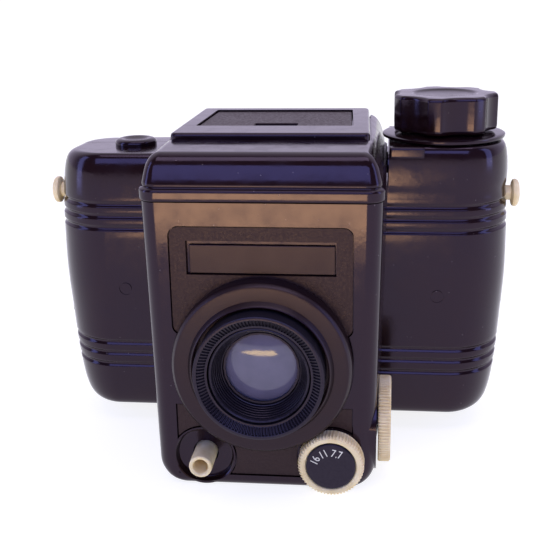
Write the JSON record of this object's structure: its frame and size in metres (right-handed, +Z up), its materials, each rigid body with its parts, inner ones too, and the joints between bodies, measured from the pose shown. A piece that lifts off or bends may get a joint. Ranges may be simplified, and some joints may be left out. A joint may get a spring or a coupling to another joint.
{
  "type": "box camera",
  "caption": "Moulded box camera for 6 x 6 cm roll-film pictures, with a pop-up finder, aperture dial, speed wheel, release button, winding knob and hinged back.",
  "frame": {"origin": "on the base, midway between the film drums, under the line through the two drum axes", "axes": "+X to the camera's right side seen from the front, +Y from the lens to the back, +Z up"},
  "size_m": [0.1354, 0.0921, 0.0965],
  "materials": {
    "phenolic": "moulded, high gloss, brown-black",
    "grained_phenolic": "moulded with a fine grain",
    "black_metal": "black enamel, satin",
    "ivory_plastic": "moulded, satin gloss, aged ivory",
    "spring_steel": "rolled",
    "brass": "turned",
    "clear_glass": "polished",
    "red_glass": "polished"
  },
  "bodies": {
    "body": {"front_body": "phenolic", "cover_hinge_pin": "spring_steel", "top_hood": "phenolic", "finder_spring_left": "spring_steel", "finder_spring_right": "spring_steel", "front_panel": "grained_phenolic", "nameplate": "black_metal", "lens_surround": "phenolic", "lens_ring": "black_metal", "lens_barrel": "black_metal", "lens_glass": "clear_glass", "lens_retainer": "black_metal", "shutter_plate": "spring_steel", "light_cone": "black_metal", "click_spring": "spring_steel", "spool_pin_right": "spring_steel", "spool_pin_left_lower": "spring_steel", "spool_pin_left_upper": "spring_steel", "release_spring": "spring_steel", "spring_bracket": "brass", "strap_lug_left": "ivory_plastic", "strap_lug_right": "ivory_plastic", "tripod_bush": "brass", "plate_screw_1": "spring_steel", "plate_screw_2": "spring_steel", "plate_screw_3": "spring_steel"},
    "rear_cover": {"rear_cover": "phenolic", "pressure_plate": "spring_steel", "pressure_spring_upper": "spring_steel", "pressure_spring_lower": "spring_steel", "red_window": "red_glass"},
    "latch": {"cover_latch": "black_metal"},
    "window_shutter": {"window_shutter": "black_metal"},
    "finder": {"finder_housing": "phenolic", "finder_panel": "grained_phenolic", "finder_front_lens": "clear_glass", "finder_eyepiece": "clear_glass"},
    "catch": {"finder_catch": "black_metal"},
    "winding": {"winding_knob": "phenolic", "knob_skirt": "phenolic", "winding_shaft": "spring_steel", "ratchet_wheel": "brass", "take_up_spool": "black_metal"},
    "stop_dial": {"dial_ring": "ivory_plastic", "dial_face": "black_metal", "dial_shaft": "brass"},
    "stops": {"stop_plate": "black_metal"},
    "release": {"release_button": "ivory_plastic"},
    "blade": {"shutter_blade": "black_metal"},
    "speed": {"speed_wheel": "ivory_plastic", "speed_shaft": "brass"}
  },
  "joints": [
    {"name": "cover_hinge", "type": "hinge", "parent": "body", "child": "rear_cover", "pos_m": [-0.0652, 0.0082, 0.043], "axis": [0, 0, 1], "range_deg": [0, 110]},
    {"name": "latch_slide", "type": "slide", "parent": "rear_cover", "child": "latch", "axis": [0, 0, 1], "range_m": [0, 0.004]},
    {"name": "window_slide", "type": "slide", "parent": "rear_cover", "child": "window_shutter", "axis": [1, 0, 0], "range_m": [0, 0.0136]},
    {"name": "finder_rise", "type": "slide", "parent": "body", "child": "finder", "axis": [0, 0, 1], "range_m": [0, 0.016], "deforming": ["finder_spring_left", "finder_spring_right"]},
    {"name": "catch_slide", "type": "slide", "parent": "finder", "child": "catch", "axis": [0, 1, 0], "range_m": [0, 0.002], "stiffness_N_per_m": 150, "springref_m": -0.001},
    {"name": "winding_turn", "type": "hinge", "parent": "body", "child": "winding", "pos_m": [0.0456, 0.0013, 0.086], "axis": [0, 0, 1], "continuous": true},
    {"name": "dial_turn", "type": "hinge", "parent": "body", "child": "stop_dial", "pos_m": [0.0174, -0.052, 0.0089], "axis": [0, 1, 0], "range_deg": [-36, 36]},
    {"name": "stop_turn", "type": "hinge", "parent": "body", "child": "stops", "pos_m": [0.00992, -0.04525, 0.02012], "axis": [0, 1, 0], "range_deg": [-28.1, 28.1]},
    {"name": "release_press", "type": "slide", "parent": "body", "child": "release", "axis": [0, 1, 0], "range_m": [0, 0.0045], "stiffness_N_per_m": 250, "springref_m": -0.002, "deforming": ["release_spring"]},
    {"name": "blade_swing", "type": "hinge", "parent": "body", "child": "blade", "pos_m": [-0.015, -0.0438, 0.03], "axis": [0, 1, 0], "range_deg": [-45.5, 0]},
    {"name": "speed_turn", "type": "hinge", "parent": "body", "child": "speed", "pos_m": [0.031, -0.036, 0.0145], "axis": [1, 0, 0], "range_deg": [0, 135]}
  ],
  "couplings": [
    {"joint": "stop_turn", "follows": "dial_turn", "ratio": -0.77778},
    {"joint": "blade_swing", "follows": "release_press", "rad_per_m": -174.53}
  ]
}
